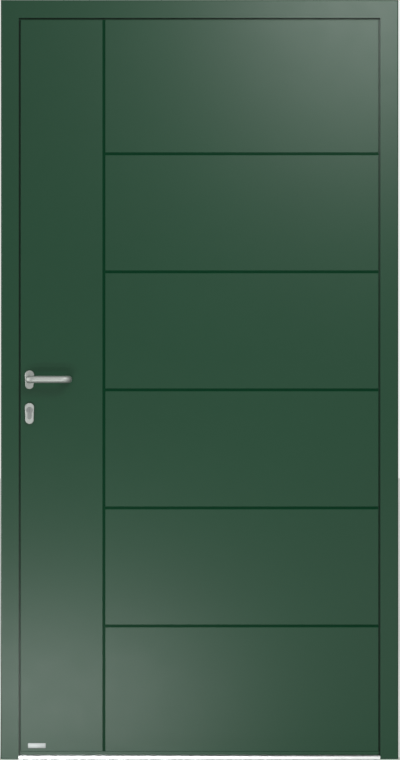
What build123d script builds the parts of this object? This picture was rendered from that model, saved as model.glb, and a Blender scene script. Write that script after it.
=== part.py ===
from build123d import *
import os
from math import sqrt

# Panelled aluminium front door with its frame, in millimetres. +Z is up and the outside face looks
# along -Y. The lock is on the -X side, the hinges are inside on the +X side, and the leaf opens
# inwards. The origin is the middle of the threshold's underside.

# Overall size of the frame
frame_width = 1100
frame_height = 2100
frame_depth = 80

# Rebate steps of the frame, measured in from the frame's outer edge and back from its outside face
frame_face = 50
frame_rebate = 40
frame_inner = 25
lip_depth = 14
flange_depth = 24
edge_bevel = 3

# Thermally broken profiles: an outside shell, strips and an inside shell
shell_depth = 28
break_width = 14
wall = 2
hardware_wall = 5
strip_thickness = 2.5
frame_strip_inset = 3
stile_width = 68
cleat_length = 90
cleat_fit = 0.2

# Gaps round the leaf
edge_gap = 5
step_gap = 4
floor_gap = 3

# Sheets and grooves of the leaf
sheet = 4
sheet_bevel = 1
groove_width = 8
groove_floor = 4
groove_depth = 2.8
groove_from_lock_edge = 230.5
first_groove_height = 368
groove_pitch = 326.5
groove_count = 5

# Threshold and bottom of the leaf
sill_height = 8.5
sill_bevel = 1.5
rib_width = 3
rib_depth = 1
rib_pitch = 7
first_rib = 8
carrier_thickness = 3
hem_height = 9.5
sweep_width = 8
sweep_seat = 1.5
sweep_lip = 1.2
sweep_clearance = 0.3

# Rebate seals
seal_base_width = 5
seal_crown_width = 2.4
seal_base = 1.2
seal_wall = 0.8
seal_clearance = 0.3

# Lock
lever_height = 1050
cylinder_spacing = 85
backset = 35
faceplate_width = 24
faceplate_thickness = 3
faceplate_end_gap = 16
case_depth = 56
case_wall = 1.5
case_fit = 0.2
case_above_lever = 55
case_below_plug = 47
bolt_thickness = 10
bolt_clearance = 0.3
bolt_inset = 0.5
latch_rise = 18
latch_height = 24
latch_reach = 12
latch_length = 26
dead_bolt_rise = 40
dead_bolt_height = 32
dead_bolt_length = 28
bolt_bevel = 1
hub_radius = 9
arm_length = 15.5
arm_width = 6
arm_gap = 0.4
tail_rise = 1.5
spindle_side = 8
spindle_fit = 0.05

# Pin bolts at the top and bottom of the lock edge, and the rods that drive them
pin_from_end = 350
pin_heights = (pin_from_end, frame_height - pin_from_end)
pin_radius = 5
pin_length = 24
pin_bevel = 1.5
pin_case_height = 70
pin_case_depth = 31
rod_width = 8
rod_thickness = 3
rod_gap = 0.5
rod_overlap = 10
rod_travel = 18
rod_entry = 3

# Strikes and hinge-side security pins
strike_width = 28
strike_thickness = 3
strike_radius = 6
strike_margin = 15
strike_fit = 0.1
strike_clearance = 1
security_from_end = 400
security_heights = (security_from_end, 1250, frame_height - security_from_end)
security_pin_radius = 6
security_pin_reach = 10
security_flange_radius = 9
security_hole_radius = 8.5
security_pin_bevel = 2
keep_height = 44

# Profile cylinder
cylinder_radius = 8.5
cylinder_lug_width = 10
cylinder_height = 33
plug_radius = 6.4
plug_clearance = 0.05
cam_slot = 10
cam_radius = 8.2
cam_reach = 13
cam_width = 6
cam_side_gap = 0.3
cylinder_proud = 1
keyway_width = 2
keyway_height = 8
keyway_depth = 3
screw_radius = 2.5
screw_drop = 18.5

# Lever handle, rosettes and escutcheons
lever_radius = 10
lever_projection = 49
lever_reach = 118
lever_bend = 14
lever_end_gap = 12
lever_end_round = 2
neck_gap = 1
neck_clearance = 0.3
spindle_length = 144
rosette_thickness = 8
rosette_top_radius = 12.8
rosette_foot_radius = 11.5
rosette_spread = 27.5
rosette_drop = 1.6
escutcheon_thickness = 9
escutcheon_top_radius = 12.6
escutcheon_foot_radius = 11.5
escutcheon_spread = 34.5
escutcheon_drop = 9.7
plate_edge = 1.2
spindle_hole_radius = 7.5

# Hinges
hinge_from_bottom = 230
hinge_from_top = 240
top_hinge = frame_height - hinge_from_top
hinge_heights = (hinge_from_bottom, (hinge_from_bottom + top_hinge) / 2, top_hinge)
hinge_setback = 2.5
hinge_proud = 12
knuckle_radius = 10
hinge_height = 120
end_knuckle = 30
knuckle_gap = 0.5
hinge_pin_radius = 5
hinge_bush_radius = 7
hinge_pin_fit = 0.05
hinge_plate = 8
leaf_plate_width = 39
plate_clearance = 1.5
frame_plate_margin = 2
plate_bevel = 1
hinge_cap_height = 4
hinge_cap_bevel = 1.5

# Holes for the screws into the wall
fixing_radius = 4
fixing_heights = (250, 800, frame_height - 750, frame_height - 200)
head_fixing_spacing = 600

# Planes and lines that follow from the sizes above
half_width = frame_width / 2
outside = -frame_depth / 2
inside = frame_depth / 2
frame_step_out = outside + lip_depth
leaf_step_out = frame_step_out + step_gap
break_out = outside + shell_depth
break_in = break_out + break_width
leaf_step_in = inside - flange_depth
frame_step_in = leaf_step_in - step_gap
sheet_back = outside + sheet
inner_sheet_back = inside - sheet
leaf_face = frame_face + edge_gap
leaf_rebate = frame_rebate + edge_gap
leaf_inner = frame_inner + edge_gap
stile_inner = leaf_rebate + stile_width
leaf_bottom = sill_height + floor_gap
carrier_top = leaf_bottom + carrier_thickness
hem_top = leaf_bottom + hem_height
rail_top = carrier_top + stile_width
mitre_reach = stile_inner + edge_gap
lock_depth = (break_out + break_in) / 2
fixing_depth = (frame_step_out + break_out) / 2

frame_steps = (
    (outside, frame_step_out, frame_face),
    (frame_step_out, frame_step_in, frame_rebate),
    (frame_step_in, inside, frame_inner),
)
leaf_steps = (
    (outside, leaf_step_out, leaf_face),
    (leaf_step_out, leaf_step_in, leaf_rebate),
    (leaf_step_in, inside, leaf_inner),
)


def lock_side(inset):
    """X of a line this far in from the frame's outer edge on the lock side."""
    return inset - half_width


def hinge_side(inset):
    """X of a line this far in from the frame's outer edge on the hinge side."""
    return half_width - inset


faceplate_x = lock_side(leaf_rebate)
case_x = faceplate_x + faceplate_thickness
case_back = case_x + case_depth
lock_x = faceplate_x + backset
plug_height = lever_height - cylinder_spacing
latch_centre = lever_height + latch_rise
dead_bolt_centre = plug_height + dead_bolt_rise
case_top = lever_height + case_above_lever
case_bottom = plug_height - case_below_plug
hinge_x = hinge_side(leaf_inner - hinge_setback)
hinge_y = inside + hinge_proud


def block(x0, x1, y0, y1, z0, z1):
    """Box between two opposite corners."""
    return Pos(x0, y0, z0) * Box(x1 - x0, y1 - y0, z1 - z0, align=Align.MIN)


def outline(*points):
    """Closed flat outline through its corner points, which may run either way round."""
    pairs = zip(points, points[1:] + points[:1])
    turn = sum(x0 * y1 - x1 * y0 for (x0, y0), (x1, y1) in pairs)
    return Polygon(*(points if turn > 0 else points[::-1]), align=None)


def round_x(radius, x0, x1, y, z):
    """Round bar along X."""
    bar = Cylinder(radius, x1 - x0, align=(Align.CENTER, Align.CENTER, Align.MIN))
    return Pos(x0, y, z) * Rot(0, 90, 0) * bar


def round_y(radius, y0, y1, x, z):
    """Round bar along Y."""
    bar = Cylinder(radius, y1 - y0, align=(Align.CENTER, Align.CENTER, Align.MIN))
    return Pos(x, y0, z) * Rot(-90, 0, 0) * bar


def round_z(radius, z0, z1, x, y):
    """Round bar along Z."""
    bar = Cylinder(radius, z1 - z0, align=(Align.CENTER, Align.CENTER, Align.MIN))
    return Pos(x, y, z0) * bar


def upright(section, length):
    """Section run straight up by a length."""
    return extrude(section, length, dir=(0, 0, 1))


def through_leaf(sketch, x, z, y0, y1):
    """Sketch drawn as seen from outside, with X right and Z up, pushed from y1 out to y0."""
    plane = Plane(origin=(x, y1, z), x_dir=(1, 0, 0), z_dir=(0, -1, 0))
    return extrude(plane * sketch, y1 - y0, dir=(0, -1, 0))


def edge_plate(x0, x1, y, z, width, height, radius):
    """Flat plate in the leaf's or the frame's edge, with rounded corners."""
    plane = Plane(origin=(x0, y, z), x_dir=(0, 1, 0), z_dir=(1, 0, 0))
    return extrude(plane * RectangleRounded(width, height, radius), x1 - x0, dir=(1, 0, 0))


def in_xz(*points):
    """Prism right through the door's depth, over an outline in X and Z."""
    return extrude(Plane.XZ * outline(*points), frame_depth, both=True)


def mirrored(shape):
    """The same shape on the other side of the middle of the door."""
    return mirror(shape, Plane.YZ)


def turned_inside(shape):
    """The same shape on the inside face of the leaf."""
    return mirror(shape, Plane.XZ)


def stepped_slab(steps, y0, y1, z0, z1):
    """Level slab whose two ends follow the rebate steps."""
    slab = None
    for low, high, inset in steps:
        a, b = max(low, y0), min(high, y1)
        if b > a:
            piece = block(lock_side(inset), hinge_side(inset), a, b, z0, z1)
            slab = piece if slab is None else slab + piece
    return slab


# Profiles: each section is drawn with the inset from the frame's outer edge along X and the depth
# along Y, then run up the jambs and across the head, and mitred


def jamb(section, bottom):
    """Section run up the lock side and mitred at the top."""
    bar = Pos(-half_width, 0, bottom) * upright(section, frame_height - bottom)
    zone = in_xz(
        (-half_width, bottom),
        (-half_width, frame_height),
        (-half_width + mitre_reach, frame_height - mitre_reach),
        (-half_width + mitre_reach, bottom),
    )
    return bar & zone


def head(section):
    """Section run across the top and mitred at both ends."""
    bar = Pos(-half_width, 0, frame_height) * Rot(0, 90, 0) * upright(section, frame_width)
    zone = in_xz(
        (-half_width, frame_height),
        (half_width, frame_height),
        (half_width - mitre_reach, frame_height - mitre_reach),
        (-half_width + mitre_reach, frame_height - mitre_reach),
    )
    return bar & zone


def frame_outer_section():
    """Outside shell of the frame: the visible face, its lip and one chamber."""
    inner_bevel = edge_bevel - wall * (2 - sqrt(2))
    skin = outline(
        (edge_bevel, outside),
        (frame_face, outside),
        (frame_face, frame_step_out),
        (frame_rebate, frame_step_out),
        (frame_rebate, break_out),
        (0, break_out),
        (0, outside + edge_bevel),
    )
    chamber = outline(
        (wall + inner_bevel, outside + wall),
        (frame_face - wall, outside + wall),
        (frame_face - wall, frame_step_out - wall),
        (frame_rebate - hardware_wall, frame_step_out - wall),
        (frame_rebate - hardware_wall, break_out - wall),
        (wall, break_out - wall),
        (wall, outside + wall + inner_bevel),
    )
    return skin - chamber


def frame_inner_section():
    """Inside shell of the frame."""
    skin = outline(
        (0, break_in),
        (frame_rebate, break_in),
        (frame_rebate, frame_step_in),
        (frame_inner, frame_step_in),
        (frame_inner, inside),
        (0, inside),
    )
    chamber = outline(
        (wall, break_in + wall),
        (frame_rebate - hardware_wall, break_in + wall),
        (frame_rebate - hardware_wall, frame_step_in - wall),
        (frame_inner - wall, frame_step_in - wall),
        (frame_inner - wall, inside - wall),
        (wall, inside - wall),
    )
    return skin - chamber


def leaf_outer_section():
    """Outside shell of a stile or of the top rail."""
    skin = outline(
        (leaf_face, sheet_back),
        (stile_inner, sheet_back),
        (stile_inner, break_out),
        (leaf_rebate, break_out),
        (leaf_rebate, leaf_step_out),
        (leaf_face, leaf_step_out),
    )
    chamber = outline(
        (leaf_face + wall, sheet_back + wall),
        (stile_inner - wall, sheet_back + wall),
        (stile_inner - wall, break_out - wall),
        (leaf_rebate + hardware_wall, break_out - wall),
        (leaf_rebate + hardware_wall, leaf_step_out + wall),
        (leaf_face + wall, leaf_step_out + wall),
    )
    return skin - chamber


def leaf_inner_section():
    """Inside shell of a stile or of the top rail."""
    skin = outline(
        (leaf_rebate, break_in),
        (stile_inner, break_in),
        (stile_inner, inner_sheet_back),
        (leaf_inner, inner_sheet_back),
        (leaf_inner, leaf_step_in),
        (leaf_rebate, leaf_step_in),
    )
    chamber = outline(
        (leaf_rebate + hardware_wall, break_in + wall),
        (stile_inner - wall, break_in + wall),
        (stile_inner - wall, inner_sheet_back - wall),
        (leaf_inner + wall, inner_sheet_back - wall),
        (leaf_inner + wall, leaf_step_in + wall),
        (leaf_rebate + hardware_wall, leaf_step_in + wall),
    )
    return skin - chamber


def strip_section(inset):
    """Polyamide strip that joins the two shells."""
    far = inset + strip_thickness
    return outline((inset, break_out), (far, break_out), (far, break_in), (inset, break_in))


def seal_section(centre, foot, direction):
    """Rubber seal: a flat foot and a hollow bulb that reaches across the step gap."""
    half, crown = seal_base_width / 2, seal_crown_width / 2
    reach = step_gap - seal_clearance
    rings = []
    for low, side, peak, top in (
        (0, half, crown, reach),
        (seal_wall, half - seal_wall, crown / 2, reach - seal_wall),
    ):
        right = ((side, low), (side, seal_base), (peak, top))
        left = tuple((-across, up) for across, up in reversed(right))
        rings.append(outline(*((centre + across, foot + direction * up) for across, up in right + left)))
    skin, bore = rings
    return skin - bore


def corner_cleats(inner, outer, y0, y1):
    """L-shaped blocks that hold the two top mitres of one chamber."""
    near, far = inner + cleat_fit, outer - cleat_fit
    end = near + cleat_length
    points = ((near, near), (end, near), (end, far), (far, far), (far, end), (near, end))
    corners = [(lock_side(u), frame_height - v) for u, v in points]
    cleat = through_leaf(outline(*corners), 0, 0, y0 + cleat_fit, y1 - cleat_fit)
    return [cleat, mirrored(cleat)]


# Openings that the lock makes in the pieces round it


def bolt_gap(x0, x1, centre, height, clearance):
    """Square opening for the latch or the dead bolt."""
    half = bolt_thickness / 2 + clearance
    rise = height / 2 + clearance
    return block(x0, x1, lock_depth - half, lock_depth + half, centre - rise, centre + rise)


def bolt_gaps(x0, x1, clearance):
    """Openings for every bolt of the lock."""
    gaps = bolt_gap(x0, x1, latch_centre, latch_height, clearance)
    gaps += bolt_gap(x0, x1, dead_bolt_centre, dead_bolt_height, clearance)
    for height in pin_heights:
        gaps += round_x(pin_radius + clearance, x0, x1, lock_depth, height)
    return gaps


def euro_profile(grow):
    """Outline of a profile cylinder: a round head over a narrower lug."""
    foot_radius = cylinder_lug_width / 2
    foot = cylinder_radius + foot_radius - cylinder_height
    lug = outline(
        (-foot_radius - grow, 0),
        (foot_radius + grow, 0),
        (foot_radius + grow, foot),
        (-foot_radius - grow, foot),
    )
    return Circle(cylinder_radius + grow) + lug + Pos(0, foot) * Circle(foot_radius + grow)


def handle_holes(y0, y1):
    """Holes for the spindle and the cylinder."""
    spindle = round_y(spindle_hole_radius, y0, y1, lock_x, lever_height)
    return spindle + through_leaf(euro_profile(neck_clearance), lock_x, plug_height, y0, y1)


faceplate_bottom = carrier_top + faceplate_end_gap
faceplate_top = frame_height - leaf_rebate - faceplate_end_gap


def faceplate_blank():
    """The long plate on the leaf's lock edge, before its openings."""
    half = faceplate_width / 2
    return block(
        faceplate_x, case_x, lock_depth - half, lock_depth + half, faceplate_bottom, faceplate_top
    )


strike_top = latch_centre + latch_height / 2 + strike_margin
strike_bottom = dead_bolt_centre - dead_bolt_height / 2 - strike_margin
strike_x = lock_side(frame_rebate)


def frame_plate(x0, centre, height, fit):
    """Plate let into a jamb, or with a fit its slightly larger recess."""
    return edge_plate(
        x0,
        x0 + strike_thickness,
        lock_depth,
        centre,
        strike_width + 2 * fit,
        height + 2 * fit,
        strike_radius + fit,
    )


def main_strike_blank(fit=0):
    """Plate in the frame that takes the latch and the dead bolt."""
    centre, height = (strike_top + strike_bottom) / 2, strike_top - strike_bottom
    return frame_plate(strike_x - strike_thickness, centre, height, fit)


def pin_strike_blanks(fit=0):
    """Plates in the frame that take the two pin bolts."""
    height = 2 * (pin_radius + strike_margin)
    return [frame_plate(strike_x - strike_thickness, centre, height, fit) for centre in pin_heights]


def keep_blanks(fit=0):
    """Plates in the hinge jamb that take the security pins."""
    x = hinge_side(frame_rebate)
    return [frame_plate(x, centre, keep_height, fit) for centre in security_heights]


def security_holes(x0, x1, radius):
    """Round holes at each security pin."""
    holes = round_x(radius, x0, x1, lock_depth, security_heights[0])
    for height in security_heights[1:]:
        holes += round_x(radius, x0, x1, lock_depth, height)
    return holes


def jamb_fixing_holes():
    """Clearance holes for the screws through both jambs."""
    holes = None
    for height in fixing_heights:
        hole = round_x(fixing_radius, -half_width, half_width, fixing_depth, height)
        holes = hole if holes is None else holes + hole
    return holes


def head_fixing_holes():
    """Clearance holes for the screws through the head."""
    low = frame_height - frame_face
    half = head_fixing_spacing / 2
    left = round_z(fixing_radius, low, frame_height, -half, fixing_depth)
    return left + round_z(fixing_radius, low, frame_height, half, fixing_depth)


def pin_case(height):
    """Outer corners of one pin bolt case."""
    half = pin_case_height / 2
    return (
        case_x,
        case_x + pin_case_depth,
        break_out + case_fit,
        break_in - case_fit,
        height - half,
        height + half,
    )


def lock_case_box():
    """Outer corners of the main lock case."""
    return case_x, case_back, break_out + case_fit, break_in - case_fit, case_bottom, case_top


def open_box(corners, thickness):
    """Folded steel case, open towards the faceplate."""
    x0, x1, y0, y1, z0, z1 = corners
    hollow = block(x0, x1 - thickness, y0 + thickness, y1 - thickness, z0 + thickness, z1 - thickness)
    return block(*corners) - hollow


def rod_gate(z0, z1):
    """Slot in a case for a drive rod."""
    half = rod_width / 2 + bolt_clearance
    x0 = case_x + rod_gap - bolt_clearance
    x1 = case_x + rod_gap + rod_thickness + bolt_clearance
    return block(x0, x1, lock_depth - half, lock_depth + half, z0, z1)


# Frame


def frame_nodes():
    """Shells, strips, cleats, seal and threshold."""
    strikes = main_strike_blank(strike_fit)
    for blank in pin_strike_blanks(strike_fit):
        strikes += blank
    keeps = None
    for blank in keep_blanks(strike_fit):
        keeps = blank if keeps is None else keeps + blank
    deep = strike_x - strike_thickness
    lock_pockets = strikes + bolt_gaps(deep - hardware_wall, strike_x, strike_clearance)
    keep_x = hinge_side(frame_rebate)
    hinge_pockets = keeps + security_holes(
        keep_x, keep_x + strike_thickness + hardware_wall, security_hole_radius
    )
    fixings = jamb_fixing_holes()
    nodes = {}
    for side, section in (("outer", frame_outer_section()), ("inner", frame_inner_section())):
        post = jamb(section, 0)
        nodes[f"frame_{side}_shell_lock_jamb"] = post - lock_pockets - fixings
        nodes[f"frame_{side}_shell_hinge_jamb"] = mirrored(post) - hinge_pockets - fixings
        nodes[f"frame_{side}_shell_head"] = head(section) - head_fixing_holes()

    near = frame_rebate - frame_strip_inset - strip_thickness
    far = hardware_wall
    strips = []
    for inset in (near, far):
        post = jamb(strip_section(inset), 0)
        strips += [post - lock_pockets, mirrored(post) - hinge_pockets, head(strip_section(inset))]
    nodes["frame_thermal_strips"] = strips

    cleats = corner_cleats(wall, frame_rebate - hardware_wall, outside + wall + edge_bevel, break_out - wall)
    cleats += corner_cleats(wall, frame_inner - wall, break_in + wall, inside - wall)
    nodes["frame_corner_cleats"] = cleats

    centre = (leaf_rebate + frame_face) / 2
    section = seal_section(centre, frame_step_out, 1)
    post = jamb(section, sill_height)
    nodes["frame_outer_seal"] = [post, mirrored(post), head(section)]

    outer_sill = stepped_slab(frame_steps, outside, break_out, 0, sill_height)
    front = hinge_side(frame_face)
    edge = outline(
        (outside, sill_height), (outside + sill_bevel, sill_height), (outside, sill_height - sill_bevel)
    )
    outer_sill -= extrude(Plane.YZ.offset(-front) * edge, 2 * front, dir=(1, 0, 0))
    inner_sill = stepped_slab(frame_steps, break_in, inside, 0, sill_height)
    for step in range(3):
        y = outside + first_rib + rib_pitch * step
        outer_sill -= block(-front, front, y, y + rib_width, sill_height - rib_depth, sill_height)
        y = inside - first_rib - rib_pitch * step
        inner_sill -= block(-front, front, y - rib_width, y, sill_height - rib_depth, sill_height)
    nodes["sill_outer_profile"] = outer_sill
    nodes["sill_thermal_break"] = stepped_slab(frame_steps, break_out, break_in, 0, sill_height - rib_depth)
    nodes["sill_inner_profile"] = inner_sill
    return nodes


def strike_nodes():
    """Strike plates on the lock jamb and keeps on the hinge jamb."""
    gaps = bolt_gaps(strike_x - strike_thickness, strike_x, strike_clearance)
    keep_x = hinge_side(frame_rebate)
    holes = security_holes(keep_x, keep_x + strike_thickness, security_hole_radius - bolt_clearance)
    return {
        "main_strike_plate": main_strike_blank() - gaps,
        "pin_bolt_strikes": [blank - gaps for blank in pin_strike_blanks()],
        "security_pin_keeps": [blank - holes for blank in keep_blanks()],
    }


# Leaf


def leaf_profile_nodes():
    """Stiles, rails, strips and cleats."""
    recess = faceplate_blank()
    flanges = security_holes(
        hinge_side(leaf_rebate + hardware_wall + strip_thickness), hinge_side(leaf_rebate),
        security_flange_radius + bolt_clearance,
    )
    nodes = {}
    for side, section in (("outer", leaf_outer_section()), ("inner", leaf_inner_section())):
        post = jamb(section, carrier_top)
        nodes[f"leaf_{side}_shell_lock_stile"] = post - recess - handle_holes(outside, inside)
        nodes[f"leaf_{side}_shell_hinge_stile"] = mirrored(post) - flanges
        nodes[f"leaf_{side}_shell_top_rail"] = head(section)

    half = hinge_side(stile_inner)
    for side, y0, y1 in (("outer", sheet_back, break_out), ("inner", break_in, inner_sheet_back)):
        rail = block(-half, half, y0, y1, carrier_top, rail_top)
        rail -= block(-half, half, y0 + wall, y1 - wall, carrier_top + wall, rail_top - wall)
        nodes[f"leaf_{side}_shell_bottom_rail"] = rail

    lock_near = strip_section(leaf_rebate + hardware_wall + rod_thickness + 2 * wall)
    edge_near = strip_section(leaf_rebate + strip_thickness)
    far = strip_section(stile_inner - wall - strip_thickness)
    cases = block(*lock_case_box())
    for height in pin_heights:
        cases += block(*pin_case(height))
    strips = [jamb(lock_near, carrier_top) - cases, jamb(far, carrier_top)]
    strips += [mirrored(jamb(edge_near, carrier_top)) - flanges, mirrored(jamb(far, carrier_top))]
    strips += [head(edge_near) & in_xz(*top_strip_zone()), head(far)]
    for z in (carrier_top + wall, rail_top - wall - strip_thickness):
        strips.append(block(-half, half, break_out, break_in, z, z + strip_thickness))
    nodes["leaf_thermal_strips"] = strips

    near = leaf_face + wall
    cleats = corner_cleats(near, stile_inner - wall, sheet_back + wall, break_out - wall)
    near = leaf_rebate + hardware_wall
    cleats += corner_cleats(near, stile_inner - wall, break_in + wall, inner_sheet_back - wall)
    nodes["leaf_corner_cleats"] = cleats
    return nodes


def top_strip_zone():
    """Outline that ends the top rail's edge strip clear of the faceplate's channel."""
    left = lock_side(leaf_rebate + hardware_wall + rod_thickness + 2 * wall) + strip_thickness
    return (
        (left, frame_height),
        (half_width, frame_height),
        (half_width, frame_height - mitre_reach),
        (left, frame_height - mitre_reach),
    )


def grooved_sheet():
    """Outside sheet with one upright groove and level grooves from it to the hinge edge."""
    x0, x1 = lock_side(leaf_face), hinge_side(leaf_face)
    top = frame_height - leaf_face
    panel = block(x0, x1, outside, sheet_back, hem_top, top)
    front = panel.faces().sort_by(Axis.Y)[0]
    panel = chamfer(front.edges(), sheet_bevel)
    half, floor = groove_width / 2, groove_floor / 2
    deep = outside + groove_depth
    section = ((-half, outside), (half, outside), (floor, deep), (-floor, deep))
    upright_x = x0 + groove_from_lock_edge
    panel -= Pos(upright_x, 0, hem_top) * upright(outline(*section), top - hem_top)
    across = upright(outline(*section), x1 - upright_x)
    for number in range(groove_count):
        z = first_groove_height + number * groove_pitch
        panel -= Pos(upright_x, 0, z) * Rot(0, 90, 0) * across
    return panel - handle_holes(outside, sheet_back)


def leaf_panel_nodes():
    """Sheets, core, seals and the bottom carrier."""
    inner = block(
        lock_side(leaf_inner), hinge_side(leaf_inner), inner_sheet_back, inside,
        carrier_top, frame_height - leaf_inner,
    )
    back = inner.faces().sort_by(Axis.Y)[-1]
    inner = chamfer(back.edges(), sheet_bevel) - handle_holes(inner_sheet_back, inside)
    half = hinge_side(stile_inner)
    core = block(-half, half, sheet_back, inner_sheet_back, rail_top, frame_height - stile_inner)

    centre = (leaf_inner + frame_rebate) / 2
    section = seal_section(centre, leaf_step_in, -1)
    post = jamb(section, carrier_top)

    face = hinge_side(leaf_face)
    carrier = stepped_slab(leaf_steps, outside, inside, leaf_bottom, carrier_top)
    carrier += block(-face, face, outside, sheet_back, carrier_top, hem_top)
    y0, y1 = lock_depth - sweep_width / 2, lock_depth + sweep_width / 2
    ends = hinge_side(leaf_rebate)
    carrier -= block(-ends, ends, y0, y1, leaf_bottom, leaf_bottom + sweep_seat)
    sweep = block(-ends, ends, y0, y1, leaf_bottom, leaf_bottom + sweep_seat)
    low = sill_height + sweep_clearance
    for y in (y0, y1 - sweep_lip):
        sweep += block(-ends, ends, y, y + sweep_lip, low, leaf_bottom)
    return {
        "leaf_outside_sheet": grooved_sheet(),
        "leaf_inside_sheet": inner,
        "leaf_foam_core": core,
        "leaf_inner_seal": [post, mirrored(post), head(section)],
        "bottom_seal_carrier": carrier,
        "bottom_sweep_seal": sweep,
    }


# Lock


def lock_nodes():
    """Faceplate, cases, bolts, rods and follower."""
    nodes = {}
    screw_z = plug_height - screw_drop
    faceplate = faceplate_blank() - bolt_gaps(faceplate_x, case_x, bolt_clearance)
    faceplate -= round_x(screw_radius + plug_clearance, faceplate_x, case_x, lock_depth, screw_z)
    nodes["lock_faceplate"] = faceplate

    case = open_box(lock_case_box(), case_wall)
    case -= rod_gate(case_top - case_wall, case_top) + rod_gate(case_bottom, case_bottom + case_wall)
    nodes["lock_case"] = case - handle_holes(break_out, break_in)
    cases = []
    for height in pin_heights:
        towards = -1 if height > lever_height else 1
        edge = height + towards * pin_case_height / 2
        gate = rod_gate(edge - case_wall, edge + case_wall)
        cases.append(open_box(pin_case(height), case_wall) - gate)
    nodes["pin_bolt_cases"] = cases

    y0, y1 = lock_depth - bolt_thickness / 2, lock_depth + bolt_thickness / 2
    low, high = latch_centre - latch_height / 2, latch_centre + latch_height / 2
    tip = faceplate_x - latch_reach
    latch_outline = outline(
        (tip, y1), (tip + latch_length, y1), (tip + latch_length, y0), (tip + latch_reach, y0)
    )
    latch = Pos(0, 0, low) * upright(latch_outline, high - low)
    arm_face = lock_x + arm_width / 2 + arm_gap
    tail_low = lever_height + arm_length + tail_rise
    tail_y0, tail_y1 = lock_depth - bolt_thickness / 4, lock_depth + bolt_thickness / 4
    latch += block(tip + latch_length, arm_face + arm_width, tail_y0, tail_y1, tail_low, tail_low + arm_width)
    lug_low = lever_height + hub_radius + bolt_clearance
    latch += block(arm_face, arm_face + arm_width, tail_y0, tail_y1, lug_low, tail_low)
    nodes["latch_bolt"] = latch

    half = dead_bolt_height / 2
    bolt_front = faceplate_x + bolt_inset
    bolt_back = bolt_front + dead_bolt_length
    dead_bolt = block(bolt_front, bolt_back, y0, y1, dead_bolt_centre - half, dead_bolt_centre + half)
    front = dead_bolt.faces().sort_by(Axis.X)[0]
    dead_bolt = chamfer(front.edges(), bolt_bevel)
    tongue = dead_bolt_centre - half
    dead_bolt += block(bolt_back, lock_x + arm_width, tail_y0, tail_y1, tongue, tongue + cam_width)
    nodes["dead_bolt"] = dead_bolt

    for name, height in (("lower", pin_heights[0]), ("upper", pin_heights[1])):
        x0 = case_x + rod_gap
        x1 = x0 + rod_thickness
        if name == "upper":
            z0, z1 = case_top - rod_travel - rod_entry, height - pin_case_height / 2 + rod_overlap
        else:
            z0, z1 = height + pin_case_height / 2 - rod_overlap, case_bottom + rod_travel + rod_entry
        w = rod_width / 2
        nodes[f"{name}_drive_rod"] = block(x0, x1, lock_depth - w, lock_depth + w, z0, z1)
        bolt = round_x(pin_radius, bolt_front, bolt_front + pin_length, lock_depth, height)
        nose = bolt.faces().sort_by(Axis.X)[0]
        nodes[f"{name}_pin_bolt"] = chamfer(nose.edges(), pin_bevel)

    hub = round_y(hub_radius, y0, y1, lock_x, lever_height)
    hub += block(
        lock_x - arm_width / 2, lock_x + arm_width / 2, y0, y1, lever_height, lever_height + arm_length
    )
    square = spindle_side / 2 + spindle_fit
    hub -= block(
        lock_x - square, lock_x + square, y0, y1, lever_height - square, lever_height + square
    )
    nodes["follower"] = hub
    return nodes


def security_pin_nodes():
    """Fixed pins on the leaf's hinge edge, which hold the leaf if the hinges are cut."""
    edge = hinge_side(leaf_rebate)
    pins = []
    for height in security_heights:
        pin = round_x(security_flange_radius, edge - faceplate_thickness, edge, lock_depth, height)
        shaft = round_x(security_pin_radius, edge, edge + security_pin_reach, lock_depth, height)
        tip = shaft.faces().sort_by(Axis.X)[-1]
        pins.append(pin + chamfer(tip.edges(), security_pin_bevel))
    return {"hinge_side_security_pins": pins}


# Cylinder, lever handles and their cover plates

plug_end = inside + escutcheon_thickness + cylinder_proud


def cylinder_nodes():
    """Profile cylinder with a plug on each side, the cam between them and the fixing screw."""
    body = through_leaf(euro_profile(0), lock_x, plug_height, -plug_end, plug_end)
    body -= round_y(plug_radius + plug_clearance, -plug_end, plug_end, lock_x, plug_height)
    slot0, slot1 = lock_depth - cam_slot / 2, lock_depth + cam_slot / 2
    body -= block(
        lock_x - cylinder_radius, lock_x + cylinder_radius, slot0, slot1,
        plug_height - cam_reach - 1, plug_height + cylinder_radius,
    )
    screw_z = plug_height - screw_drop
    body -= round_x(
        screw_radius + plug_clearance, lock_x - cylinder_radius, lock_x + cylinder_radius, lock_depth, screw_z
    )
    cam0, cam1 = slot0 + cam_side_gap, slot1 - cam_side_gap
    cam = round_y(cam_radius, cam0, cam1, lock_x, plug_height)
    cam += block(
        lock_x - cam_width / 2, lock_x + cam_width / 2, cam0, cam1, plug_height - cam_reach, plug_height
    )
    w, h = keyway_width / 2, keyway_height / 2
    plug_out = round_y(plug_radius, -plug_end, cam0, lock_x, plug_height)
    plug_out -= block(
        lock_x - w, lock_x + w, -plug_end, keyway_depth - plug_end, plug_height - h, plug_height + h
    )
    plug_in = round_y(plug_radius, cam1, plug_end, lock_x, plug_height)
    plug_in -= block(
        lock_x - w, lock_x + w, plug_end - keyway_depth, plug_end, plug_height - h, plug_height + h
    )
    screw = round_x(screw_radius, faceplate_x + bolt_inset, lock_x + screw_radius, lock_depth, screw_z)
    return {
        "cylinder_body": body,
        "cylinder_cam": cam,
        "cylinder_outside_plug": plug_out,
        "cylinder_inside_plug": plug_in,
        "cylinder_fixing_screw": screw,
    }


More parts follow.
